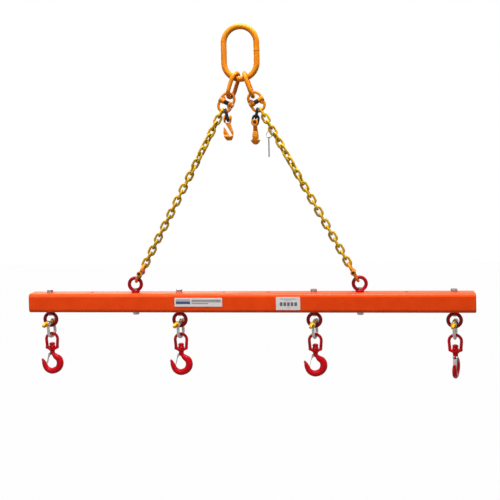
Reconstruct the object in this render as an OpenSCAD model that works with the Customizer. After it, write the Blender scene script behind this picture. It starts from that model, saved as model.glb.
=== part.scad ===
// Spreader beam on a two-leg chain sling.
// A square hollow beam hangs by two eye nuts from a master link, two sub-links,
// four coupling links and two chains. Four eye nuts under the beam each carry a
// bow shackle and a swivel hook with a sprung latch.
// The origin is the bearing point at the inside top of the master link,
// X runs along the beam, Y away from the front face and Z up.

/* [Beam] */
// Length of the beam over its end caps
beam_len = 1500; // [1440:10:1800]
// Height and width of the square hollow section
beam_side = 65; // [60:1:75]
// Wall of the hollow section
beam_wall = 5; // [4:0.5:7]
// Outer corner radius of the hollow section
beam_corner_r = 12; // [8:0.5:14]
// Thickness of each welded end cap
cap_t = 5; // [3:0.5:8]
// Distance between neighbouring drilled stations
station_pitch = 152; // [140:1:158]
// Outside diameter of the crush sleeve at each station
sleeve_d = 20; // [17:0.5:26]

/* [Plates] */
// Length of the data plate
data_plate_len = 162; // [120:1:180]
// Height of the data plate
data_plate_h = 29; // [20:1:36]
// Length of the capacity plate
capacity_plate_len = 80; // [60:1:100]
// Height of the capacity plate
capacity_plate_h = 43; // [30:1:44]
// Thickness of both plates
plate_t = 1; // [0.5:0.1:2]

/* [Eye nuts and bolts] */
// Inside diameter of an eye nut's ring
eye_in_d = 30; // [28:0.5:36]
// Wire diameter of an eye nut's ring
eye_wire = 12; // [10:0.5:13]
// Height of the ring's centre above the seat
eye_h = 28; // [27:0.5:32]
// Diameter of the seat
eye_seat_d = 28; // [24:0.5:34]
// Diameter of the through bolt
bolt_d = 12; // [10:0.5:12.5]
// Width of the hexagon head across its flats
bolt_head_af = 19; // [17:0.5:22]
// Height of the hexagon head
bolt_head_h = 7.5; // [6:0.5:9]
// Outside diameter of a washer
washer_d = 24; // [22:0.5:30]
// Thickness of a washer
washer_t = 2.5; // [1.5:0.5:4]

/* [Master link and sub-links] */
// Wire diameter of the master link
master_wire = 20; // [16:1:24]
// Inside length of the master link
master_in_len = 155; // [140:1:180]
// Inside width of the master link
master_in_w = 90; // [80:1:100]
// Wire diameter of the sub-links
sub_wire = 14; // [12:0.5:15]
// Inside length of the sub-links
sub_in_len = 70; // [60:1:90]
// Inside width of the sub-links
sub_in_w = 34; // [32:1:40]
// Lean of each sub-link from the vertical, in degrees
sub_lean = 19; // [16:0.5:24]
// Turn of the left sub-link about its own length, in degrees
sub_left_roll = 18; // [0:1:20]

/* [Chain and couplings] */
// Wire diameter of the chain
chain_wire = 8; // [7:0.1:8.5]
// Inside length of a chain link
chain_pitch = 24; // [23:0.1:27]
// Inside width of a chain link
chain_in_w = 11.2; // [10.6:0.1:13]
// Number of links in each leg
chain_links = 25; // [21:2:29]
// Links at the top of each leg that share its quarter turn
twist_links = 15; // [13:1:21]
// Wire diameter of a coupling's crowns
coupling_wire = 9.5; // [8:0.1:10]
// Inside length of a coupling
coupling_in_len = 57; // [54:0.5:64]
// Inside width of a coupling
coupling_in_w = 33.5; // [32:0.5:38]
// Diameter of a coupling's load pin
coupling_pin_d = 8.5; // [8:0.5:11]
// Diameter of a coupling's bosses
coupling_boss_d = 18; // [16:0.5:20]
// Outside diameter of a coupling's centre bush
bush_d = 15; // [13.5:0.5:17]
// Length of a coupling's centre bush
bush_len = 15; // [12:0.5:17]

/* [Grab hooks] */
// Spare links that carry the left and the right grab hook
grab_link_count = [1, 2];
// Inside length of the left and the right spare links
grab_link_len = [32, 24];
// Diameter of a grab hook's clevis pin
grab_pin_d = 9; // [7:0.5:9.5]
// Diameter of the clevis ears
grab_boss_d = 22.5; // [20:0.5:23]
// Width over the clevis ears
grab_fork_w = 26; // [24:0.5:27]
// Thickness of the hook's body
grab_body_t = 14; // [11:0.5:18]
// Width of the hook's body
grab_body_w = 35; // [32:0.5:40]
// Width over the chain cradle
grab_cradle_w = 30; // [24:1:34]
// Depth of the hook's bottom below its pin
grab_drop = 74; // [68:1:84]
// Width of the slot that takes a chain link
grab_slot_w = 10; // [9:0.5:11]

/* [Identity tag] */
// Diameter of the tag's split ring over its middle
tag_ring_d = 26; // [25.5:0.1:26.5]
// Wire diameter of the split ring
tag_ring_wire = 2.4; // [2:0.1:2.8]
// Length of the tag
tag_len = 70; // [50:1:80]
// Width of the tag
tag_w = 32; // [24:1:40]
// Thickness of the tag
tag_t = 2; // [1:0.1:2.5]

/* [Shackles] */
// Wire diameter of a shackle's bow
bow_wire = 10; // [8:0.5:10.5]
// Inside width of the bow
bow_in_w = 27; // [24:0.5:32]
// Distance from the pin's centre to the inside of the bow
bow_depth = 45.5; // [43:0.5:54]
// Gap between the ears
ear_gap = 22; // [21:0.5:24]
// Thickness of an ear
ear_t = 11; // [10.5:0.5:13]
// Diameter of an ear
ear_d = 19; // [17:0.5:20]
// Diameter of the shackle's pin
shackle_pin_d = 11; // [9:0.5:11.5]
// Turn of each shackle about the vertical, in degrees
shackle_yaw = 16; // [0:1:18]
// Drop of the front end of each shackle pin, in degrees
shackle_tilt = 8; // [0:1:9]

/* [Swivel hooks] */
// Wire diameter of the bail
bail_wire = 10; // [8:0.5:10.5]
// Inside width of the bail
bail_in_w = 30; // [28:0.5:34]
// Height of the bail from its inside top to its bottom face
bail_drop = 56; // [52:0.5:64]
// Inward lean of the bail's sides, in degrees
bail_lean = 5; // [2:0.5:8]
// Height of the bail's base
bail_base_h = 11.5; // [11:0.5:16]
// Diameter of the swivel stud
stud_d = 12; // [10:0.5:13]
// Diameter of the stud's head
stud_head_d = 21; // [17:0.5:21]
// Height of the stud's head
stud_head_h = 17.5; // [15:0.5:20]
// Diameter of the hook's bowl
bowl_d = 36; // [30:0.5:38]
// Height of the hook from the bottom to the neck
hook_h = 80.5; // [78:0.5:88]
// Thickness of the hook under the bowl
hook_bottom_t = 21; // [17:0.5:23]
// Thickness of the hook's back
hook_back_t = 24.5; // [19:0.5:26]
// Thickness of the hook on its tip side
hook_tip_t = 17; // [13:0.5:18]
// Diameter of the hook's neck
hook_neck_d = 18; // [16:0.5:19]
// Turn of each hook about its stud, in degrees
hook_turn = [0, 0, 0, 76];
// Diameter of a latch's pivot pin
latch_pin_d = 4; // [3:0.1:4.5]
// Width of a latch
latch_w = 12.8; // [11.5:0.1:15]
// Thickness of a latch's sheet
latch_t = 1.5; // [1:0.1:1.8]

/* [Hidden] */
$fn = 64;
// Clearance where two loose pieces bear on each other
gap = 0.3;
// Radial clearance of a pin or stud that turns in its hole
fit = 0.05;
// Radial clearance of a bolt in a drilled hole
bolt_clear = 0.5;
// Overshoot that makes a cut pass a face
cut = 1;

HOOKS = [1, 2, 3, 4];
SIDES = ["left", "right"];

// Finishes
beam_orange = "#e0500f";
sling_orange = "#ef9312";
chain_gold = "#d9ad12";
hook_red = "#c20a24";
zinc = "#a9abad";
bolt_grey = "#8f9092";
plate_silver = "#d6d3cd";
pin_yellow = "#e8a512";
bush_black = "#26262a";

// Signs of the two legs: the left one reaches towards -X
function side_sign(s) = s == "left" ? -1 : 1;
// Unit vector that leans a degrees outwards from straight down
function down(a, sign) = [sign * sin(a), 0, -cos(a)];

// Drilled stations: four carry hooks, two carry the sling and four are spare
hook_x = [for (k = [-4.5, -1.5, 1.5, 4.5]) k * station_pitch];
lift_x = [for (k = [-2.5, 2.5]) k * station_pitch];
spare_x = [for (k = [-3.5, -0.5, 0.5, 3.5]) k * station_pitch];
all_x = concat(hook_x, lift_x, spare_x);
bolt_hole_d = bolt_d + 2 * bolt_clear;

// The sling, worked out from the master link down to the beam
eye_ring_r = (eye_in_d + eye_wire) / 2;
master_arc_z = -(master_in_len - master_in_w / 2);
sub_start = master_in_w / 2 - gap;
leg_start = sub_start + sub_in_len - 3 * gap;
leg_reach = 2 * (coupling_in_len - gap) + chain_links * (chain_pitch - gap) + eye_in_d / 2;
leg_angle = asin((lift_x[1] - leg_start * sin(sub_lean)) / leg_reach);
function leg_top(sign) = [0, 0, master_arc_z] + leg_start * down(sub_lean, sign);
chain_start = coupling_in_len - gap;
chain_end = chain_start + chain_links * (chain_pitch - gap);
eye_z = leg_top(1)[2] - leg_reach * cos(leg_angle);
beam_top = eye_z - eye_h;
beam_mid = beam_top - beam_side / 2;
beam_bottom = beam_top - beam_side;
front_y = -beam_side / 2;

// Parts of a coupling
crown_r = (coupling_in_w + coupling_wire) / 2;
crown_z = (coupling_in_len - coupling_in_w) / 2;
boss_w = coupling_wire + 1;
boss_out = crown_r + boss_w / 2;
boss_in = crown_r - boss_w / 2;

// Places of the grab hooks: the spare link rests beside the first chain link
crown_turn = 2 * asin((chain_wire + 2 * gap) / (coupling_in_w - chain_wire));
grab_lean = leg_angle - crown_turn;
function crown_centre(sign) =
    leg_top(sign) + (coupling_in_len - coupling_in_w / 2) * down(leg_angle, sign);
function grab_count(sign) = grab_link_count[sign < 0 ? 0 : 1];
function grab_len(sign) = grab_link_len[sign < 0 ? 0 : 1];
function grab_link_top(sign, n) =
    crown_centre(sign)
    + (coupling_in_w / 2 - gap + (n - 1) * (grab_len(sign) - gap)) * down(grab_lean, sign);
function grab_pin_turn(sign) = grab_count(sign) % 2 == 0 ? 90 : 0;
function grab_pin_at(sign) =
    let (n = grab_count(sign))
    let (wire_at = grab_link_top(sign, n)
        + (grab_len(sign) + chain_wire / 2) * down(grab_lean, sign))
    let (reach = (chain_wire / 2 + gap + grab_pin_d / 2) / (n % 2 == 0 ? 1 : cos(grab_lean)))
    wire_at - reach * down(grab_lean, sign);

// Place of the tag's ring, measured from the middle of the bar it hangs on
tag_link = 4;
tag_ring_off = [-5.2, 3.46, -4.71];
tag_ring_tip = 123.6;
tag_ring_turn = 53.8;
tag_ring_axis = [
    sin(tag_ring_tip) * cos(tag_ring_turn),
    sin(tag_ring_tip) * sin(tag_ring_turn),
    cos(tag_ring_tip)
];
// Links stand edge-on at the top, and the leg winds through a quarter turn below
function link_roll(i) = 90 * i + 90 * min((i - 1) / (twist_links - 1), 1);
tag_plumb = [
    -sin(leg_angle) * cos(link_roll(tag_link)),
    sin(leg_angle) * sin(link_roll(tag_link)),
    -cos(leg_angle)
];
tag_fall = tag_plumb - (tag_plumb * tag_ring_axis) * tag_ring_axis;
tag_ring_low = tag_fall * tag_ring_d / 2 / norm(tag_fall);

// Places of the shackles under each hook station
bow_r = (bow_in_w + bow_wire) / 2;
bow_centre = bow_depth - bow_in_w / 2;
ear_y = (ear_gap + ear_t) / 2;
leg_y = ear_y - 0.5;
bow_span = norm([leg_y, bow_centre]);
bow_flare = asin(bow_r / bow_span) - atan(leg_y / bow_centre);
bow_leg = sqrt(bow_span * bow_span - bow_r * bow_r);
ring_low_z = beam_bottom - eye_h - eye_ring_r;
pin_lift = (eye_wire + shackle_pin_d) / 2 + gap;
contact_turn = atan(tan(shackle_tilt) / cos(shackle_yaw));
bow_up = [
    -sin(shackle_yaw) * sin(shackle_tilt),
    -cos(shackle_yaw) * sin(shackle_tilt),
    cos(shackle_tilt)
];
function shackle_at(i) =
    [hook_x[i - 1], 0, ring_low_z]
    + pin_lift * [0, -sin(contact_turn), cos(contact_turn)];
function bail_at(i) =
    shackle_at(i) - bow_centre * bow_up - [0, 0, bow_in_w / 2 - gap];

// Parts of a swivel hook, measured from the bottom of the hook
bail_r = (bail_in_w + bail_wire) / 2;
neck_r = hook_neck_d / 2;
bail_top_z = hook_h + gap + bail_drop;
base_top_z = hook_h + gap + bail_base_h;
bowl_r = bowl_d / 2;
bowl_x = -3.5;
bowl_z = hook_bottom_t + bowl_r;
neck_lean = 3;
throat_r = 6.6;
latch_ear_r = 4;
lug_t = 5.2;
pivot_x = neck_lean - throat_r - latch_ear_r - 4 * gap;
pivot_z = hook_h - 10;
latch_seat = 0.79;
ring_sides = 18;
ring_steps = 5;

// A point of the hook's middle line: place, half width and half thickness,
// t thick on the bowl's edge at an angle round the bowl
function bowl_point(angle, t) = [
    bowl_x + (bowl_r + t / 2) * cos(angle),
    bowl_z + (bowl_r + t / 2) * sin(angle),
    t / 2,
    t * 0.45
];
tip_root = bowl_point(192, hook_tip_t);
hook_path = [
    [neck_lean, hook_h + 10, throat_r, neck_r * 0.9],
    [0, hook_h, neck_r, neck_r],
    [neck_lean, hook_h - 10, throat_r, neck_r * 0.9],
    [bowl_x + bowl_r * 0.82, bowl_z + bowl_r * 1.25, hook_back_t * 0.4, hook_back_t * 0.38],
    bowl_point(26, hook_back_t * 0.96),
    bowl_point(-8, hook_back_t),
    bowl_point(-45, (hook_back_t + hook_bottom_t) / 2),
    bowl_point(-90, hook_bottom_t),
    bowl_point(-130, (hook_bottom_t + hook_tip_t) / 2),
    tip_root,
    tip_root + [-3.5, 10, -2.4, -1.6],
    tip_root + [-8.5, 19.5, -5.8, -4.6],
    tip_root + [-14, 29, -9.2, -7.6]
];
hook_spans = len(hook_path) - 3;

// Smooth curve through the path's points, u running from 0 to 1
function curve(p, f) = 0.5 * (2 * p[1] + (p[2] - p[0]) * f
    + (2 * p[0] - 5 * p[1] + 4 * p[2] - p[3]) * f * f
    + (3 * p[1] - p[0] - 3 * p[2] + p[3]) * f * f * f);
function hook_mid(u) =
    let (k = min(floor(u * hook_spans), hook_spans - 1))
    curve([for (j = [0:3]) hook_path[k + j]], u * hook_spans - k);
function hook_side(u) =
    let (d = hook_mid(min(u + 0.004, 1)) - hook_mid(max(u - 0.004, 0)))
    u == 0 ? [1, 0] : [-d[1], d[0]] / norm([d[0], d[1]]);
function hook_ring(u) =
    let (m = hook_mid(u), n = hook_side(u))
    [for (a = [0:ring_sides - 1]) let (c = 360 * a / ring_sides) [
        m[0] + n[0] * m[2] * cos(c),
        m[3] * sin(c),
        m[1] + n[1] * m[2] * cos(c)
    ]];
// The latch's end rests on the inside of the tip
latch_end = let (m = hook_mid(latch_seat), n = hook_side(latch_seat))
    [m[0], m[1]] - n * (m[2] + gap + latch_t / 2);

// Shared shapes

module square_section(side, r) {
    square([side, side - 2 * r], center = true);
    square([side - 2 * r, side], center = true);
    for (x = [-1, 1], y = [-1, 1])
        translate([x * (side / 2 - r), y * (side / 2 - r)]) circle(r);
}

module along_x(len) {
    rotate([90, 0, 90]) linear_extrude(len, center = true) children();
}

// Half ring in the X-Z plane that bulges upwards
module half_ring(r, wire, sweep = 180) {
    rotate([90, 0, 0])
        rotate([0, 0, 90 - sweep / 2])
            rotate_extrude(angle = sweep) translate([r, 0]) circle(d = wire);
}

// Oblong link that hangs down from its inside top
module oblong_link(in_len, in_w, wire) {
    r = (in_w + wire) / 2;
    straight = in_len - in_w;
    translate([0, 0, -in_w / 2]) half_ring(r, wire);
    translate([0, 0, -in_w / 2 - straight]) rotate([180, 0, 0]) half_ring(r, wire);
    for (x = [-r, r]) translate([x, 0, -in_w / 2 - straight]) cylinder(h = straight, d = wire);
}

module chain_link() {
    oblong_link(chain_pitch, chain_in_w, chain_wire);
}

module tube(len, d_out, d_in) {
    difference() {
        cylinder(h = len, d = d_out);
        translate([0, 0, -cut]) cylinder(h = len + 2 * cut, d = d_in);
    }
}

// Places something on a leg, at a distance below the leg's top
module on_leg(sign, dist) {
    translate(leg_top(sign) + dist * down(leg_angle, sign)) rotate([0, -sign * leg_angle, 0])
        children();
}

module on_each_leg() {
    for (s = SIDES) on_leg(side_sign(s), 0) children();
}

// Beam

module beam_tube() {
    color(beam_orange) difference() {
        translate([0, 0, beam_mid]) along_x(beam_len - 2 * cap_t) difference() {
            square_section(beam_side, beam_corner_r);
            square_section(beam_side - 2 * beam_wall, beam_corner_r - beam_wall);
        }
        for (x = all_x) translate([x, 0, beam_bottom - cut])
            cylinder(h = beam_side + 2 * cut, d = bolt_hole_d);
    }
}

module end_caps() {
    color(beam_orange) for (x = [-1, 1])
        translate([x * (beam_len - cap_t) / 2, 0, beam_mid]) along_x(cap_t)
            square_section(beam_side, beam_corner_r);
}

module crush_sleeves() {
    color(zinc) for (x = all_x) translate([x, 0, beam_bottom + beam_wall])
        tube(beam_side - 2 * beam_wall, sleeve_d, bolt_hole_d);
}

module front_plate(x, drop, len, h) {
    color(plate_silver) translate([x - len / 2, front_y - plate_t, beam_top - drop - h])
        cube([len, plate_t, h]);
}

module data_plate() {
    front_plate(spare_x[1] - data_plate_len / 2, beam_corner_r + 2, data_plate_len, data_plate_h);
}

module capacity_plate() {
    plate_x = spare_x[2] + 68;
    front_plate(plate_x, (beam_side - capacity_plate_h) / 2, capacity_plate_len, capacity_plate_h);
}

// Eye nut that stands on its seat, with its ring in the X-Z plane
module eye_nut() {
    collar_h = 5;
    neck_h = eye_h - eye_in_d / 2 - collar_h - 2;
    difference() {
        union() {
            cylinder(h = collar_h, d = eye_seat_d);
            translate([0, 0, collar_h]) cylinder(h = neck_h, d1 = eye_seat_d, d2 = eye_seat_d * 0.68);
            translate([0, 0, eye_h]) rotate([90, 0, 0])
                rotate_extrude() translate([eye_ring_r, 0]) circle(d = eye_wire);
        }
        translate([0, 0, -cut]) cylinder(h = eye_h, d = bolt_d + 2 * fit);
    }
}

// Turns a lift station up or a hook station down, at the beam's face
module at_lift(x) {
    translate([x, 0, beam_top]) children();
}

module at_hook(x) {
    translate([x, 0, beam_bottom]) rotate([180, 0, 0]) children();
}

module upper_eye_nuts() {
    color(hook_red) for (x = lift_x) at_lift(x) eye_nut();
}

module lower_eye_nuts() {
    color(hook_red) for (x = hook_x) at_hook(x) eye_nut();
}

module eye_bolt() {
    tip_z = eye_h - eye_in_d / 2 + 2;
    head_z = -beam_side - washer_t;
    corner_d = bolt_head_af / cos(30);
    translate([0, 0, head_z]) cylinder(h = tip_z - head_z, d = bolt_d);
    translate([0, 0, head_z - bolt_head_h]) intersection() {
        cylinder(h = bolt_head_h, d = corner_d, $fn = 6);
        cylinder(h = bolt_head_h, d1 = bolt_head_af, d2 = bolt_head_af + 4 * bolt_head_h);
    }
}

module eye_bolts() {
    color(bolt_grey) {
        for (x = lift_x) at_lift(x) eye_bolt();
        for (x = hook_x) at_hook(x) eye_bolt();
    }
}

module washers() {
    color(zinc) {
        for (x = lift_x) at_lift(x) translate([0, 0, -beam_side - washer_t])
            tube(washer_t, washer_d, bolt_hole_d);
        for (x = hook_x) at_hook(x) translate([0, 0, -beam_side - washer_t])
            tube(washer_t, washer_d, bolt_hole_d);
    }
}

// Sling

module master_link() {
    color(sling_orange) oblong_link(master_in_len, master_in_w, master_wire);
}

module sub_link(s) {
    sign = side_sign(s);
    roll = s == "left" ? 90 - sub_left_roll : 90;
    color(sling_orange) translate([0, 0, master_arc_z]) rotate([0, -sign * sub_lean, 0])
        translate([0, 0, -sub_start]) rotate([0, 0, roll])
            oblong_link(sub_in_len, sub_in_w, sub_wire);
}

// One of a coupling's two like halves, from the pin's centre up to its crown
module coupling_half() {
    leg_z = coupling_boss_d / 2 + 2 * gap;
    inner_w = boss_in - bush_len / 2 - 2 * gap;
    difference() {
        union() {
            translate([0, 0, crown_z]) half_ring(crown_r, coupling_wire);
            translate([crown_r, 0, 0]) cylinder(h = crown_z, d = coupling_wire);
            translate([boss_in, 0, 0]) rotate([0, 90, 0]) cylinder(h = boss_w, d = coupling_boss_d);
            translate([-boss_in + gap, 0, 0]) rotate([0, 90, 0])
                cylinder(h = inner_w, d = coupling_boss_d);
            translate([-crown_r, 0, leg_z]) cylinder(h = crown_z - leg_z, d = coupling_wire);
            rotate([90, 0, 0]) linear_extrude(coupling_wire - 1, center = true) polygon([
                [-crown_r - 2, leg_z],
                [-boss_in + gap, leg_z],
                [-boss_in + gap, 0],
                [-boss_in + gap + inner_w, 0],
                [-boss_in + gap + inner_w, leg_z],
                [-boss_in + gap + inner_w / 2, leg_z + 6],
                [-boss_in - 2, crown_z + 6],
                [-crown_r - 2, crown_z + 2]
            ]);
        }
        translate([-boss_out - cut, 0, 0]) rotate([0, 90, 0])
            cylinder(h = 2 * (boss_out + cut), d = coupling_pin_d + 2 * fit);
    }
}

module coupling() {
    color(sling_orange) for (a = [0, 180]) rotate([0, a, 0]) coupling_half();
}

// The upper coupling lies in the plane of the sling, the lower one square to it
module at_upper_coupling(sign) {
    on_leg(sign, coupling_in_len / 2) children();
}

module at_lower_coupling(sign) {
    on_leg(sign, chain_end + coupling_in_len / 2) rotate([0, 0, 90]) children();
}

module coupling_pin() {
    translate([-boss_out, 0, 0]) rotate([0, 90, 0]) cylinder(h = 2 * boss_out, d = coupling_pin_d);
}

module coupling_bush() {
    translate([-bush_len / 2, 0, 0]) rotate([0, 90, 0])
        tube(bush_len, bush_d, coupling_pin_d + 2 * fit);
}

module coupling_pins() {
    color(bush_black) for (s = SIDES) {
        at_upper_coupling(side_sign(s)) coupling_pin();
        at_lower_coupling(side_sign(s)) coupling_pin();
    }
}

module coupling_bushes() {
    color(bush_black) for (s = SIDES) {
        at_upper_coupling(side_sign(s)) coupling_bush();
        at_lower_coupling(side_sign(s)) coupling_bush();
    }
}

module on_chain(sign, i) {
    on_leg(sign, chain_start + (i - 1) * (chain_pitch - gap))
        rotate([0, 0, sign * link_roll(i)]) children();
}

module chain(sign) {
    color(chain_gold) for (i = [1:chain_links]) on_chain(sign, i) chain_link();
}

// Identity tag: a split ring round the inner bar of one link, and a plate in the ring

module at_tag_ring() {
    on_chain(1, tag_link)
        translate(tag_ring_off - [(chain_in_w + chain_wire) / 2, 0, chain_pitch / 2]) children();
}

module tag_ring() {
    color(zinc) at_tag_ring() rotate([0, tag_ring_tip, tag_ring_turn])
        rotate_extrude() translate([tag_ring_d / 2, 0]) circle(d = tag_ring_wire);
}

// The plate hangs plumb from the lowest point of the ring
module id_tag() {
    hole_r = 4;
    corner_r = 5;
    top_z = hole_r * 2;
    color(zinc) at_tag_ring() translate(tag_ring_low) rotate([0, 0, -link_roll(tag_link)])
        rotate([0, leg_angle, 0]) translate([-tag_t / 2, 0, tag_ring_wire / 2 - hole_r + 1])
            rotate([90, 0, 90]) linear_extrude(tag_t) difference() {
                translate([0, top_z - tag_len / 2]) {
                    square([tag_w, tag_len - 2 * corner_r], center = true);
                    square([tag_w - 2 * corner_r, tag_len], center = true);
                    for (x = [-1, 1], y = [-1, 1])
                        translate([x * (tag_w / 2 - corner_r), y * (tag_len / 2 - corner_r)])
                            circle(corner_r);
                }
                circle(hole_r);
            }
}

// Grab hooks

module grab_links(sign) {
    color(bush_black) for (n = [1:grab_count(sign)])
        translate(grab_link_top(sign, n)) rotate([0, -sign * grab_lean, 0]) rotate([0, 0, 90 * n])
            oblong_link(grab_len(sign), chain_in_w, chain_wire);
}

module at_grab_hook(sign) {
    translate(grab_pin_at(sign)) rotate([0, 0, grab_pin_turn(sign)]) children();
}

module grab_pin(sign) {
    color(bush_black) at_grab_hook(sign) translate([-grab_fork_w / 2, 0, 0]) rotate([0, 90, 0])
        cylinder(h = grab_fork_w, d = grab_pin_d);
}

// Clevis above, chain slot with its cradle below; the profile lies in the X-Z plane
module grab_hook(sign) {
    // A spare link that leans across the fork needs a wider one
    lean_room = grab_pin_turn(sign) == 0 ? grab_boss_d * sin(abs(grab_lean)) : 0;
    fork_gap = chain_wire + 1.2 + lean_room;
    crotch_z = -(grab_pin_d / 2 + chain_wire + 2);
    half_w = grab_body_w / 2;
    half_t = grab_body_t / 2;
    half_c = grab_cradle_w / 2;
    slot_lean = 30;
    slot_end = [half_w * 0.5, -grab_drop * 0.73];
    face = [
        [-grab_fork_w / 2, 0],
        [grab_fork_w / 2, 0],
        [grab_fork_w / 2, crotch_z + 6],
        [half_w * 0.56, crotch_z - 3],
        [half_w * 0.78, -grab_drop * 0.39],
        [half_w * 1.05, -grab_drop * 0.6],
        [half_w * 1.05, -grab_drop * 0.74],
        [half_w * 0.88, -grab_drop * 0.92],
        [half_w * 0.66, -grab_drop],
        [-half_w * 0.18, -grab_drop],
        [-half_w * 0.64, -grab_drop * 0.84],
        [-half_w * 0.82, -grab_drop * 0.65],
        [-half_w * 0.74, -grab_drop * 0.4],
        [-half_w * 0.6, crotch_z - 5],
        [-grab_fork_w / 2, crotch_z + 2]
    ];
    edge = [
        [half_t * 0.95, grab_boss_d / 2],
        [half_t * 0.92, crotch_z],
        [half_t * 1.1, -grab_drop * 0.4],
        [half_t * 1.36, -grab_drop * 0.62],
        [half_t * 1.2, -grab_drop * 0.76],
        [half_c, -grab_drop * 0.78],
        [half_c, -grab_drop * 0.84],
        [half_t * 0.8, -grab_drop]
    ];
    color(sling_orange) at_grab_hook(sign) difference() {
        union() {
            translate([-grab_fork_w / 2, 0, 0]) rotate([0, 90, 0])
                cylinder(h = grab_fork_w, d = grab_boss_d);
            intersection() {
                rotate([90, 0, 0]) linear_extrude(2 * grab_cradle_w, center = true) polygon(face);
                rotate([90, 0, 90]) linear_extrude(2 * grab_body_w, center = true) polygon(concat(
                    edge,
                    [for (k = [len(edge) - 1:-1:0]) [-edge[k][0], edge[k][1]]]
                ));
            }
        }
        translate([-grab_fork_w, 0, 0]) rotate([0, 90, 0])
            cylinder(h = 2 * grab_fork_w, d = grab_pin_d + 2 * fit);
        translate([-fork_gap / 2, -grab_boss_d, crotch_z])
            cube([fork_gap, 2 * grab_boss_d, grab_boss_d - crotch_z]);
        rotate([90, 0, 0]) linear_extrude(grab_cradle_w + 2 * cut, center = true)
            translate(slot_end) rotate(slot_lean) {
                circle(d = grab_slot_w);
                translate([-grab_slot_w / 2, 0]) square([grab_slot_w, grab_drop * 0.6]);
            }
    }
}

// Shackles

module at_shackle(i) {
    translate(shackle_at(i)) rotate([0, 0, -shackle_yaw]) rotate([shackle_tilt, 0, 0]) children();
}

module shackle(i) {
    color(zinc) at_shackle(i) difference() {
        union() {
            translate([0, 0, -bow_centre]) rotate([180, 0, 90])
                half_ring(bow_r, bow_wire, 180 + 2 * bow_flare);
            for (s = [-1, 1]) {
                translate([0, s * bow_r * cos(bow_flare), -bow_centre + bow_r * sin(bow_flare)])
                    rotate([s * bow_flare, 0, 0]) translate([0, 0, -cut])
                        cylinder(h = bow_leg + cut, d1 = bow_wire + gap, d2 = bow_wire - 1);
                translate([0, s * ear_y, 0]) rotate([90, 0, 0])
                    cylinder(h = ear_t, d = ear_d, center = true);
            }
        }
        rotate([90, 0, 0]) cylinder(h = 2 * (ear_gap + ear_t), d = shackle_pin_d + 2 * fit, center = true);
    }
}

// Screw pin with a collar and a wing eye at its front end
module shackle_pin(i) {
    end_y = ear_gap / 2 + ear_t;
    collar_d = shackle_pin_d + 7;
    collar_t = 3.5;
    wing_t = 7;
    wing_d = 15;
    wing_y = -wing_d / 2 - 4;
    color(pin_yellow) at_shackle(i) {
        translate([0, -end_y - gap, 0]) rotate([-90, 0, 0]) cylinder(h = 2 * end_y + gap + 2, d = shackle_pin_d);
        translate([0, -end_y - gap - collar_t, 0]) rotate([-90, 0, 0]) cylinder(h = collar_t, d = collar_d);
        translate([0, -end_y - gap - collar_t, 0]) rotate([0, 20, 0]) difference() {
            rotate([0, 90, 0]) linear_extrude(wing_t, center = true) {
                translate([-wing_d / 2, wing_y]) square([wing_d, -wing_y]);
                translate([0, wing_y]) circle(d = wing_d);
            }
            translate([0, wing_y, 0]) rotate([0, 90, 0])
                cylinder(h = 2 * wing_t, d = wing_d * 0.45, center = true);
        }
    }
}

// Swivel hooks

module at_bail(i) {
    translate(bail_at(i) - [0, 0, bail_top_z]) children();
}

module at_hook_turn(i) {
    at_bail(i) rotate([0, 0, hook_turn[i - 1]]) children();
}

// Bail in the X-Z plane, with its base bored for the stud
module swivel_bail(i) {
    arch_z = bail_top_z - bail_in_w / 2;
    base_z = hook_h + gap;
    foot_z = base_top_z + 2;
    side_x = bail_r * cos(bail_lean);
    side_z = arch_z - bail_r * sin(bail_lean);
    side_len = (side_z - foot_z) / cos(bail_lean);
    foot_x = side_x - side_len * sin(bail_lean);
    foot_half = bail_wire / 2 + 0.6;
    web = [
        [neck_r - 0.6, base_z + 1],
        [neck_r + 5, base_z + 5.5],
        [foot_x + foot_half - 1, foot_z - 5],
        [foot_x + foot_half + 0.2, foot_z + 1],
        [foot_x - foot_half, foot_z + 1],
        [neck_r + 2, base_top_z - 1]
    ];
    color(hook_red) at_bail(i) difference() {
        union() {
            translate([0, 0, arch_z]) half_ring(bail_r, bail_wire, 180 + 2 * bail_lean);
            for (s = [-1, 1]) translate([s * side_x, 0, side_z]) rotate([180, s * bail_lean, 0])
                translate([0, 0, -cut])
                    cylinder(h = side_len + cut, d1 = bail_wire + gap, d2 = bail_wire + 2 * gap);
            translate([0, 0, base_z]) cylinder(h = bail_base_h, r1 = neck_r, r2 = neck_r + 4);
            rotate([90, 0, 0]) linear_extrude(bail_wire + 1.5, center = true) polygon(concat(
                web,
                [for (k = [len(web) - 1:-1:0]) [-web[k][0], web[k][1]]]
            ));
        }
        translate([0, 0, base_z - cut]) cylinder(h = bail_base_h + 4 * cut, d = stud_d + 2 * fit);
    }
}

// Stud that carries the hook, with its riveted head inside the bail
module swivel_stud(i) {
    head_z = base_top_z + gap;
    head_r = stud_head_d / 2;
    color(hook_red) at_hook_turn(i) {
        translate([0, 0, hook_h]) cylinder(h = head_z - hook_h, d = stud_d);
        translate([0, 0, head_z]) rotate_extrude() polygon([
            [0, 0],
            [head_r, 0],
            [head_r, stud_head_h * 0.3],
            [head_r * 0.82, stud_head_h * 0.42],
            [head_r * 0.82, stud_head_h * 0.5],
            [head_r * 0.95, stud_head_h * 0.6],
            [head_r * 0.95, stud_head_h * 0.82],
            [head_r * 0.6, stud_head_h],
            [0, stud_head_h]
        ]);
    }
}

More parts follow.
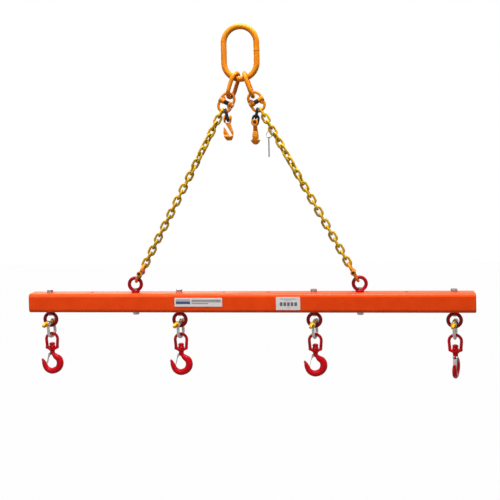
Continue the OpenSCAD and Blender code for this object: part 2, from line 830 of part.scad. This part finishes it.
module hook_body() {
    count = hook_spans * ring_steps;
    points = [for (k = [0:count]) each hook_ring(k / count)];
    polyhedron(points, concat(
        [[for (a = [0:ring_sides - 1]) ring_sides - 1 - a]],
        [[for (a = [0:ring_sides - 1]) count * ring_sides + a]],
        [for (k = [0:count - 1], a = [0:ring_sides - 1], half = [0, 1])
            let (b = (a + 1) % ring_sides, lo = k * ring_sides, hi = lo + ring_sides)
            half == 0 ? [lo + a, lo + b, hi + b] : [lo + a, hi + b, hi + a]]
    ));
}

module hook(i) {
    color(hook_red) at_hook_turn(i) difference() {
        union() {
            hook_body();
            translate([pivot_x, 0, pivot_z]) rotate([90, 0, 0])
                cylinder(h = lug_t, r = latch_ear_r, center = true);
            translate([pivot_x, -lug_t / 2, pivot_z - latch_ear_r * 0.9])
                cube([neck_lean - pivot_x, lug_t, latch_ear_r * 1.8]);
        }
        translate([pivot_x, 0, pivot_z]) rotate([90, 0, 0])
            cylinder(h = 2 * latch_w, d = latch_pin_d + 2 * fit, center = true);
    }
}

// Sheet latch: two ears on the pivot and a strip that reaches the tip
module latch(i) {
    pivot = [pivot_x, pivot_z];
    way = (latch_end - pivot) / norm(latch_end - pivot);
    out = [way[1], -way[0]];
    strip_start = pivot + out * (latch_ear_r - latch_t) + way * (latch_ear_r + 2);
    strip_way = (latch_end - strip_start) / norm(latch_end - strip_start);
    strip_out = [strip_way[1], -strip_way[0]] * latch_t / 2;
    ear_end = strip_start + strip_way * 12;
    color(zinc) at_hook_turn(i) difference() {
        union() {
            for (s = [-1, 1]) translate([0, s * (latch_w - latch_t) / 2, 0])
                rotate([90, 0, 0]) linear_extrude(latch_t, center = true) {
                    translate(pivot) circle(r = latch_ear_r);
                    polygon([
                        pivot + out * (latch_ear_r - gap),
                        pivot - out * (latch_ear_r - gap),
                        strip_start - out * 3 + way * 3,
                        ear_end,
                        strip_start + strip_out * 0.4 + strip_way * 0.5
                    ]);
                }
            rotate([90, 0, 0]) linear_extrude(latch_w - gap, center = true) polygon([
                strip_start + strip_out,
                latch_end + strip_out,
                latch_end - strip_out,
                strip_start - strip_out
            ]);
        }
        translate([pivot_x, 0, pivot_z]) rotate([90, 0, 0])
            cylinder(h = 2 * latch_w, d = latch_pin_d + 2 * fit, center = true);
    }
}

module latch_pin(i) {
    head_t = 1.2;
    color(zinc) at_hook_turn(i) translate([pivot_x, 0, pivot_z]) rotate([90, 0, 0]) {
        cylinder(h = latch_w + 2 * gap, d = latch_pin_d, center = true);
        for (s = [-1, 1]) translate([0, 0, s * (latch_w / 2 + gap + head_t / 2)])
            cylinder(h = head_t, d = latch_pin_d + 2, center = true);
    }
}

// Coil of the latch's torsion spring, between the hook's lug and one ear
module latch_spring(i) {
    coil_len = latch_w / 2 - latch_t - lug_t / 2 - 2 * gap;
    color(zinc) at_hook_turn(i) translate([pivot_x, -lug_t / 2 - gap, pivot_z]) rotate([90, 0, 0])
        tube(coil_len, latch_pin_d + 2.4, latch_pin_d + 2 * gap);
}

beam_tube();
end_caps();
crush_sleeves();
data_plate();
capacity_plate();
upper_eye_nuts();
lower_eye_nuts();
eye_bolts();
washers();
master_link();
coupling_pins();
coupling_bushes();
tag_ring();
id_tag();
for (s = SIDES) {
    sub_link(s);
    at_upper_coupling(side_sign(s)) coupling();
    at_lower_coupling(side_sign(s)) coupling();
    chain(side_sign(s));
    grab_links(side_sign(s));
    grab_pin(side_sign(s));
    grab_hook(side_sign(s));
}
for (i = HOOKS) {
    shackle(i);
    shackle_pin(i);
    swivel_bail(i);
    swivel_stud(i);
    hook(i);
    latch(i);
    latch_pin(i);
    latch_spring(i);
}
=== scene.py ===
"""Spreader beam on a two-leg chain sling.

Finishes, forged pieces, label plates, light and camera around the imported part.
"""

import math

import bpy
from mathutils import Matrix, Vector


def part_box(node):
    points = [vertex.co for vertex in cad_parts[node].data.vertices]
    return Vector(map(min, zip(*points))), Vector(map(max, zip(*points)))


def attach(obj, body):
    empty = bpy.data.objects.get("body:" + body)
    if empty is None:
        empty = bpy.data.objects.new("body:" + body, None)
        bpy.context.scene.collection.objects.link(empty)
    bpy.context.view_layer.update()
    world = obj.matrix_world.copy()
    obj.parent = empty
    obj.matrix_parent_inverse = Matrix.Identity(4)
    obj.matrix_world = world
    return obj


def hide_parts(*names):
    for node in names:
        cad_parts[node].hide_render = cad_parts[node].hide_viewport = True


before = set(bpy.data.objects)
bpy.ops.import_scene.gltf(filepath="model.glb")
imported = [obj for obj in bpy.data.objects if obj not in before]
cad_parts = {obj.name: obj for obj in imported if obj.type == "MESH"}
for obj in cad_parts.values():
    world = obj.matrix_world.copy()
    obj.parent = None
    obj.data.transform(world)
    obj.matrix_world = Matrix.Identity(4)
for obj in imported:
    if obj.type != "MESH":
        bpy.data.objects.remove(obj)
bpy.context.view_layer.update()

MM = 0.001
HOOKS = (1, 2, 3, 4)
SIDES = ("left", "right")
ENDS = ("upper", "lower")

# Where the picture was taken from: metres, degrees, and pixels of the square picture
PICTURE_PX = 500
CAMERA_AT = Vector((0.374, -2.752, -0.400))
CAMERA_HEADING = 7.25
CAMERA_PITCH = 1.44
CAMERA_ROLL = -1.36
FOCAL_PX = 830
RISE_PX = 80
SENSOR_MM = 36

# Floor: height and width in metres, its own tone, and how much of its white is shown
FLOOR_Z = -1.9
FLOOR_SIZE = 16.0
FLOOR_TONE = 0.16
FLOOR_WHITE = 0.985

# Sky: strength above and below, and the heights between which one fades into the other
SKY_ABOVE = 0.23
SKY_BELOW = 0.03
SKY_FADE = (-0.3, 0.5)

# Soft boxes: place and width in metres, power in watts
LIGHT_AIM = (0, 0, -0.7)
SOFT_BOXES = {
    "key_light": ((-1.4, -2.6, 0.7), 1.3, 44),
    "fill_light": ((2.6, -2.4, 0.6), 1.8, 15),
    "top_light": ((0.2, -0.3, 1.7), 1.6, 215),
    "back_light": ((-1.2, 2.6, 0.6), 1.8, 30),
}

# Paint: low and high tone, roughness, clear coat
PAINTS = {
    "beam_orange": ((0.70, 0.049, 0.003), (0.76, 0.058, 0.004), 0.40, 0.04),
    "sling_orange": ((0.50, 0.142, 0.002), (0.57, 0.175, 0.003), 0.34, 0.08),
    "chain_gold": ((0.37, 0.210, 0.002), (0.48, 0.285, 0.003), 0.30, 0.10),
    "hook_crimson": ((0.49, 0.001, 0.006), (0.58, 0.001, 0.008), 0.26, 0.04),
    # This crimson is the hooks' red painted about half as bright: painted shade on the eye
    # nuts
    "nut_crimson_painted_shade": ((0.24, 0.001, 0.006), (0.31, 0.001, 0.010), 0.26, 0.04),
    "pin_yellow": ((0.74, 0.360, 0.008), (0.84, 0.430, 0.012), 0.40, 0.10),
    "black_oxide": ((0.008, 0.008, 0.010), (0.016, 0.016, 0.018), 0.45, 0.05),
}
PAINT_SHINE = 0.08
COAT_ROUGHNESS = 0.12
TONE_SCALE = 26
PEEL_SCALE = 160
PEEL_RELIEF = 0.03
PEEL_HEIGHT = 0.4 * MM

# Plated steel: low and high tone, roughness, grain, relief, share of bare metal
METALS = {
    "galvanised": ((0.30, 0.29, 0.27), (0.52, 0.50, 0.47), 0.36, 140, 0.05, 0.60),
    "bolt_zinc": ((0.20, 0.19, 0.18), (0.34, 0.33, 0.32), 0.36, 180, 0.08, 1.00),
    "latch_zinc": ((0.24, 0.24, 0.23), (0.36, 0.36, 0.35), 0.34, 180, 0.08, 1.00),
    "plate_silver": ((0.56, 0.53, 0.51), (0.62, 0.59, 0.57), 0.45, 90, 0.03, 0.25),
    "tag_steel": ((0.18, 0.17, 0.165), (0.26, 0.25, 0.24), 0.40, 180, 0.08, 1.00),
}
GRAIN_HEIGHT = 0.3 * MM

# Print on the label plates
INKS = {
    "plate_ink": (0.075, 0.08, 0.09),
    "plate_blue": (0.028, 0.045, 0.12),
    "plate_grey": (0.33, 0.33, 0.36),
}
INK_ROUGHNESS = 0.55

# Which CAD nodes wear which finish
FINISH = {
    "beam_orange": ["beam_tube", "end_caps"],
    "sling_orange": ["master_link", "sub_link_left", "sub_link_right"]
    + [f"{end}_{side}_coupling" for end in ENDS for side in SIDES]
    + [f"grab_hook_{side}" for side in SIDES],
    "chain_gold": ["chain_left", "chain_right"],
    "black_oxide": ["coupling_pins", "coupling_bushes"]
    + [f"grab_{kind}_{side}" for kind in ("links", "pin") for side in SIDES],
    # The eye nuts wear the crimson with painted shade, darker than the hooks
    "nut_crimson_painted_shade": ["upper_eye_nuts", "lower_eye_nuts"],
    "hook_crimson": [
        f"{kind}_{i}" for kind in ("swivel_bail", "swivel_stud", "hook") for i in HOOKS
    ],
    "galvanised": [f"shackle_{i}" for i in HOOKS],
    "pin_yellow": [f"shackle_pin_{i}" for i in HOOKS],
    "bolt_zinc": ["eye_bolts", "washers", "crush_sleeves"],
    "latch_zinc": [
        f"{kind}_{i}" for kind in ("latch", "latch_pin", "latch_spring") for i in HOOKS
    ],
    "plate_silver": ["data_plate", "capacity_plate"],
    "tag_steel": ["tag_ring", "id_tag"],
}

# Meshing: points closer than this are one, and the slack of a test on a flat face
MERGE_WITHIN = 0.002 * MM
HAIR = 0.01 * MM
ROUND_SEGMENTS = 5

# Fineness of a forging's skin, and how many rounds of easing its edges get
FORGE_VOXEL = 0.8 * MM
FORGE_SMOOTH = 6
BAIL_SMOOTH = 14
GRAB_SMOOTH = 55

# Rim of the end caps, and the bead on the master link: how far down it sits, size, roughness
CAP_ROUND = 3.5 * MM
SEAM_SHARE = 0.465
SEAM_R = 1.7 * MM
SEAM_PROUD = 0.2
SEAM_UNEVEN = 0.25 * MM
SEAM_SEED = 4

# Label plates: round corners, thickness of the print, and its fields as
# (left, low, right, high, ink) in shares of the plate
PLATE_CORNER = 2 * MM
INK_CORNER = 0.3 * MM
INK_T = 0.12 * MM
DATA_FIELDS = [
    (0.03, 0.30, 0.33, 0.62, "plate_blue"),
    (0.03, 0.66, 0.33, 0.86, "plate_grey"),
    (0.36, 0.70, 0.97, 0.80, "plate_ink"),
    (0.36, 0.52, 0.97, 0.62, "plate_ink"),
    (0.36, 0.32, 0.71, 0.40, "plate_ink"),
]
CAPACITY_FIELDS = [
    (0.18, 0.81, 0.81, 0.88, "plate_grey"),
    (0.35, 0.70, 0.64, 0.75, "plate_grey"),
    (0.44, 0.16, 0.60, 0.21, "plate_grey"),
] + [(0.16 + 0.15 * n, 0.31, 0.27 + 0.15 * n, 0.60, "plate_ink") for n in range(5)]


# Tools

def deselect():
    """Object mode with nothing selected."""
    if bpy.context.object and bpy.context.object.mode != "OBJECT":
        bpy.ops.object.mode_set(mode="OBJECT")
    bpy.ops.object.select_all(action="DESELECT")


def pick(piece):
    """Only this piece selected and active."""
    deselect()
    piece.select_set(True)
    bpy.context.view_layer.objects.active = piece


def apply_modifier(piece, kind, **settings):
    """Adds a modifier with these settings and applies it."""
    pick(piece)
    modifier = piece.modifiers.new(kind.lower(), kind)
    for key, value in settings.items():
        setattr(modifier, key, value)
    bpy.ops.object.modifier_apply(modifier=modifier.name)


def settle(piece):
    """Puts the piece's place into its mesh, so that the object sits at the origin."""
    pick(piece)
    bpy.ops.object.transform_apply(location=True, rotation=True, scale=True)
    return piece


def copy_of(node, name):
    """A merged copy of a node's mesh, as a new piece."""
    piece = bpy.data.objects.new(name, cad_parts[node].data.copy())
    bpy.context.scene.collection.objects.link(piece)
    pick(piece)
    bpy.ops.object.mode_set(mode="EDIT")
    bpy.ops.mesh.select_all(action="SELECT")
    bpy.ops.mesh.remove_doubles(threshold=MERGE_WITHIN)
    bpy.ops.object.mode_set(mode="OBJECT")
    return piece


def loose_parts(piece):
    """The piece's separate solids, each an object of its own."""
    pick(piece)
    bpy.ops.mesh.separate(type="LOOSE")
    return list(bpy.context.selected_objects)


def join(pieces, name):
    """One object from several."""
    deselect()
    for piece in pieces:
        piece.select_set(True)
    bpy.context.view_layer.objects.active = pieces[0]
    bpy.ops.object.join()
    pieces[0].name = name
    return pieces[0]


def drop_custom_normals(piece):
    """Lets the surface shade from its own faces."""
    pick(piece)
    if piece.data.has_custom_normals:
        bpy.ops.mesh.customdata_custom_splitnormals_clear()


def select_edges(piece, wanted):
    """Edit mode with only the edges selected whose two ends pass a test."""
    pick(piece)
    bpy.ops.object.mode_set(mode="EDIT")
    bpy.ops.mesh.select_mode(type="EDGE")
    bpy.ops.mesh.select_all(action="DESELECT")
    bpy.ops.object.mode_set(mode="OBJECT")
    points = piece.data.vertices
    for edge in piece.data.edges:
        edge.select = wanted(points[edge.vertices[0]].co, points[edge.vertices[1]].co)
    bpy.ops.object.mode_set(mode="EDIT")


def dress(piece, material):
    """Gives the piece one finish all over."""
    piece.data.materials.clear()
    piece.data.materials.append(material)


# Finishes

def new_material(name):
    """A material with its nodes and links."""
    material = bpy.data.materials.new(name)
    material.use_nodes = True
    return material, material.node_tree.nodes, material.node_tree.links


def noise(nodes, links, scale, detail):
    """A noise on the piece's own coordinates."""
    place = nodes.new("ShaderNodeTexCoord")
    texture = nodes.new("ShaderNodeTexNoise")
    texture.inputs["Scale"].default_value = scale
    texture.inputs["Detail"].default_value = detail
    links.new(place.outputs["Object"], texture.inputs["Vector"])
    return texture


def bump(nodes, links, height, strength, distance):
    """Lets a height lift the surface's shading a little."""
    shader = nodes["Principled BSDF"]
    lift = nodes.new("ShaderNodeBump")
    lift.inputs["Strength"].default_value = strength
    lift.inputs["Distance"].default_value = distance
    links.new(height, lift.inputs["Height"])
    links.new(lift.outputs["Normal"], shader.inputs["Normal"])


def two_tone(nodes, links, texture, low, high, start, stop):
    """Colour that drifts between two tones with a noise."""
    ramp = nodes.new("ShaderNodeValToRGB")
    ramp.color_ramp.elements[0].position = start
    ramp.color_ramp.elements[1].position = stop
    ramp.color_ramp.elements[0].color = (*low, 1)
    ramp.color_ramp.elements[1].color = (*high, 1)
    links.new(texture.outputs["Fac"], ramp.inputs["Fac"])
    links.new(ramp.outputs["Color"], nodes["Principled BSDF"].inputs["Base Color"])


def coat_of_paint(name, low, high, roughness, coat):
    """Paint over steel: two near tones, a clear top and a fine orange peel."""
    material, nodes, links = new_material(name)
    shader = nodes["Principled BSDF"]
    shader.inputs["Roughness"].default_value = roughness
    shader.inputs["Coat Weight"].default_value = coat
    shader.inputs["Coat Roughness"].default_value = COAT_ROUGHNESS
    shader.inputs["Specular IOR Level"].default_value = PAINT_SHINE
    two_tone(nodes, links, noise(nodes, links, TONE_SCALE, 3), low, high, 0.35, 0.68)
    peel = noise(nodes, links, PEEL_SCALE, 2)
    bump(nodes, links, peel.outputs["Fac"], PEEL_RELIEF, PEEL_HEIGHT)
    return material


def plated_metal(name, low, high, roughness, grain, relief, metallic):
    """Plated or galvanised steel with a mottled tone."""
    material, nodes, links = new_material(name)
    shader = nodes["Principled BSDF"]
    shader.inputs["Metallic"].default_value = metallic
    shader.inputs["Roughness"].default_value = roughness
    two_tone(nodes, links, noise(nodes, links, grain, 4), low, high, 0.3, 0.7)
    skin = noise(nodes, links, 2 * grain, 2)
    bump(nodes, links, skin.outputs["Fac"], relief, GRAIN_HEIGHT)
    return material


def flat_ink(name, colour):
    """Print on a plate."""
    material, nodes, _ = new_material(name)
    nodes["Principled BSDF"].inputs["Base Color"].default_value = (*colour, 1)
    nodes["Principled BSDF"].inputs["Roughness"].default_value = INK_ROUGHNESS
    return material


finishes = {name: coat_of_paint(name, *values) for name, values in PAINTS.items()}
finishes.update({name: plated_metal(name, *values) for name, values in METALS.items()})
finishes.update({name: flat_ink(name, colour) for name, colour in INKS.items()})
for finish, nodes_of_it in FINISH.items():
    for node in nodes_of_it:
        dress(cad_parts[node], finishes[finish])


# Camera, floor and light

def make_camera():
    """The picture's own viewpoint; the optical axis is a little above the picture's middle."""
    bpy.ops.object.camera_add()
    camera = bpy.context.object
    camera.name = "camera"
    turn = Matrix.Rotation(math.radians(CAMERA_HEADING), 4, "Z")
    tip = Matrix.Rotation(math.radians(90 - CAMERA_PITCH), 4, "X")
    roll = Matrix.Rotation(math.radians(CAMERA_ROLL), 4, "Z")
    camera.matrix_world = Matrix.Translation(CAMERA_AT) @ turn @ tip @ roll
    camera.data.sensor_width = SENSOR_MM
    camera.data.lens = FOCAL_PX / PICTURE_PX * SENSOR_MM
    camera.data.shift_y = -RISE_PX / PICTURE_PX
    bpy.context.scene.camera = camera


def seen_directly(nodes, links):
    """1 for rays that show the background itself: seen, mirrored or through glass."""
    path = nodes.new("ShaderNodeLightPath")
    first = nodes.new("ShaderNodeMath")
    first.operation = "MAXIMUM"
    links.new(path.outputs["Is Camera Ray"], first.inputs[0])
    links.new(path.outputs["Is Glossy Ray"], first.inputs[1])
    both = nodes.new("ShaderNodeMath")
    both.operation = "MAXIMUM"
    links.new(first.outputs[0], both.inputs[0])
    links.new(path.outputs["Is Transmission Ray"], both.inputs[1])
    return both.outputs[0]


def make_floor():
    """Plain white floor that still takes a soft shadow."""
    deselect()
    bpy.ops.mesh.primitive_plane_add(size=FLOOR_SIZE, location=(0, 0, FLOOR_Z))
    floor = settle(bpy.context.object)
    floor.name = "floor"
    material, nodes, links = new_material("floor_white")
    shader = nodes["Principled BSDF"]
    shader.inputs["Base Color"].default_value = (FLOOR_TONE, FLOOR_TONE, FLOOR_TONE, 1)
    shader.inputs["Roughness"].default_value = 0.9
    shader.inputs["Specular IOR Level"].default_value = 0.1
    glow = nodes.new("ShaderNodeEmission")
    share = nodes.new("ShaderNodeMath")
    share.operation = "MULTIPLY"
    share.inputs[1].default_value = FLOOR_WHITE
    links.new(seen_directly(nodes, links), share.inputs[0])
    mix = nodes.new("ShaderNodeMixShader")
    links.new(share.outputs[0], mix.inputs["Fac"])
    links.new(shader.outputs[0], mix.inputs[1])
    links.new(glow.outputs[0], mix.inputs[2])
    links.new(mix.outputs[0], nodes["Material Output"].inputs["Surface"])
    dress(floor, material)


def make_sky():
    """White where it is seen; where it lights, soft from above and dim from below."""
    world = bpy.data.worlds.new("studio")
    bpy.context.scene.world = world
    world.use_nodes = True
    nodes, links = world.node_tree.nodes, world.node_tree.links
    lit = nodes["Background"]
    lit.inputs["Color"].default_value = (1, 1, 1, 1)
    place = nodes.new("ShaderNodeTexCoord")
    parts = nodes.new("ShaderNodeSeparateXYZ")
    links.new(place.outputs["Generated"], parts.inputs[0])
    height = nodes.new("ShaderNodeMapRange")
    height.inputs["From Min"].default_value = SKY_FADE[0]
    height.inputs["From Max"].default_value = SKY_FADE[1]
    height.inputs["To Min"].default_value = SKY_BELOW
    height.inputs["To Max"].default_value = SKY_ABOVE
    links.new(parts.outputs["Z"], height.inputs["Value"])
    links.new(height.outputs["Result"], lit.inputs["Strength"])
    shown = nodes.new("ShaderNodeBackground")
    shown.inputs["Color"].default_value = (1, 1, 1, 1)
    mix = nodes.new("ShaderNodeMixShader")
    links.new(seen_directly(nodes, links), mix.inputs["Fac"])
    links.new(lit.outputs[0], mix.inputs[1])
    links.new(shown.outputs[0], mix.inputs[2])
    links.new(mix.outputs[0], nodes["World Output"].inputs["Surface"])


def soft_box(name, at, size, power):
    """A square softbox turned towards the middle of the sling."""
    bpy.ops.object.light_add(type="AREA", location=at)
    lamp = bpy.context.object
    lamp.name = name
    lamp.data.size = size
    lamp.data.energy = power
    lamp.rotation_euler = (Vector(LIGHT_AIM) - Vector(at)).to_track_quat("-Z", "Y").to_euler()


make_camera()
make_floor()
make_sky()
for name, box in SOFT_BOXES.items():
    soft_box(name, *box)
bpy.context.scene.view_settings.view_transform = "Standard"


# Forged pieces: the node's solid with blended edges

def forged(node, name, body, finish, rounds=FORGE_SMOOTH):
    """A node's solids, each remeshed finely and eased, in place of the node."""
    parts = loose_parts(copy_of(node, name))
    for part in parts:
        drop_custom_normals(part)
        apply_modifier(part, "REMESH", mode="VOXEL", voxel_size=FORGE_VOXEL)
        apply_modifier(part, "SMOOTH", factor=0.5, iterations=rounds)
    piece = join(parts, name)
    pick(piece)
    bpy.ops.object.shade_smooth()
    dress(piece, finishes[finish])
    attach(piece, body)
    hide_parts(node)


for i in HOOKS:
    forged(f"hook_{i}", f"forged_hook_{i}", f"hook_{i}", "hook_crimson")
    forged(
        f"swivel_bail_{i}", f"forged_bail_{i}", f"bail_{i}",
        "hook_crimson", rounds=BAIL_SMOOTH,
    )
    forged(f"shackle_{i}", f"forged_shackle_{i}", f"shackle_{i}", "galvanised")
for side in SIDES:
    forged(
        f"grab_hook_{side}", f"forged_grab_hook_{side}", f"grab_hook_{side}",
        "sling_orange", rounds=GRAB_SMOOTH,
    )
    for end in ENDS:
        forged(
            f"{end}_{side}_coupling", f"forged_{end}_{side}_coupling", "sling_legs",
            "sling_orange",
        )
for end in ENDS:
    # Eye nuts in the darker crimson, which is painted shade
    forged(f"{end}_eye_nuts", f"forged_{end}_eye_nuts", "beam", "nut_crimson_painted_shade")


# Beam ends and the seam of the master link

def rounded_caps():
    """The end caps with their outer rims ground round."""
    caps = copy_of("end_caps", "rounded_end_caps")
    drop_custom_normals(caps)
    bpy.ops.object.mode_set(mode="EDIT")
    bpy.ops.mesh.select_all(action="SELECT")
    bpy.ops.mesh.dissolve_limited(angle_limit=math.radians(1))
    bpy.ops.object.mode_set(mode="OBJECT")
    rim = max(point.co.x for point in caps.data.vertices) - HAIR
    select_edges(caps, lambda a, b: min(abs(a.x), abs(b.x)) > rim)
    bpy.ops.mesh.bevel(offset=CAP_ROUND, segments=ROUND_SEGMENTS, affect="EDGES")
    bpy.ops.object.mode_set(mode="OBJECT")
    bpy.ops.object.shade_smooth_by_angle(angle=math.radians(35))
    dress(caps, finishes["beam_orange"])
    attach(caps, "beam")
    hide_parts("end_caps")


def weld_seam():
    """The upset bead where the master link's bar was closed, half way down its right side."""
    low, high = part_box("master_link")
    wire_r = (high.y - low.y) / 2
    deselect()
    bpy.ops.mesh.primitive_torus_add(
        location=(
            high.x - wire_r,
            (low.y + high.y) / 2,
            high.z - SEAM_SHARE * (high.z - low.z),
        ),
        major_radius=wire_r - SEAM_PROUD * SEAM_R,
        minor_radius=SEAM_R,
        major_segments=64,
        minor_segments=12,
    )
    seam = settle(bpy.context.object)
    seam.name = "master_link_seam"
    bpy.ops.object.mode_set(mode="EDIT")
    bpy.ops.mesh.select_all(action="SELECT")
    bpy.ops.transform.vertex_random(offset=SEAM_UNEVEN, seed=SEAM_SEED)
    bpy.ops.mesh.vertices_smooth(factor=0.5, repeat=2)
    bpy.ops.object.mode_set(mode="OBJECT")
    bpy.ops.object.shade_smooth()
    dress(seam, finishes["sling_orange"])
    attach(seam, "master_link")


rounded_caps()
weld_seam()


# Label plates: rounded sheets with bare bars and boxes

def rounded_sheet(name, low, high, corner):
    """A thin sheet in the X-Z plane with round corners and a softened front edge."""
    deselect()
    low, high = Vector(low), Vector(high)
    bpy.ops.mesh.primitive_cube_add(size=1, location=(low + high) / 2, scale=high - low)
    sheet = settle(bpy.context.object)
    sheet.name = name
    thickness = high.y - low.y
    select_edges(sheet, lambda a, b: abs(a.y - b.y) > 0.5 * thickness)
    bpy.ops.mesh.bevel(offset=corner, segments=ROUND_SEGMENTS, affect="EDGES")
    bpy.ops.object.mode_set(mode="OBJECT")
    front = low.y + HAIR
    select_edges(sheet, lambda a, b: a.y < front and b.y < front)
    bpy.ops.mesh.bevel(offset=0.3 * thickness, segments=2, affect="EDGES")
    bpy.ops.object.mode_set(mode="OBJECT")
    return sheet


def label_plate(node, fields):
    """A silver plate in place of a bare one, with its printed fields."""
    low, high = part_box(node)
    plate = rounded_sheet(f"printed_{node}", low, high, PLATE_CORNER)
    dress(plate, finishes["plate_silver"])
    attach(plate, "beam")
    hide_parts(node)
    size = high - low
    for n, (left, bottom, right, top, ink) in enumerate(fields):
        bar = rounded_sheet(
            f"{node}_field_{n + 1}",
            (low.x + left * size.x, low.y - INK_T, low.z + bottom * size.z),
            (low.x + right * size.x, low.y + INK_T, low.z + top * size.z),
            INK_CORNER,
        )
        dress(bar, finishes[ink])
        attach(bar, "beam")


label_plate("data_plate", DATA_FIELDS)
label_plate("capacity_plate", CAPACITY_FIELDS)
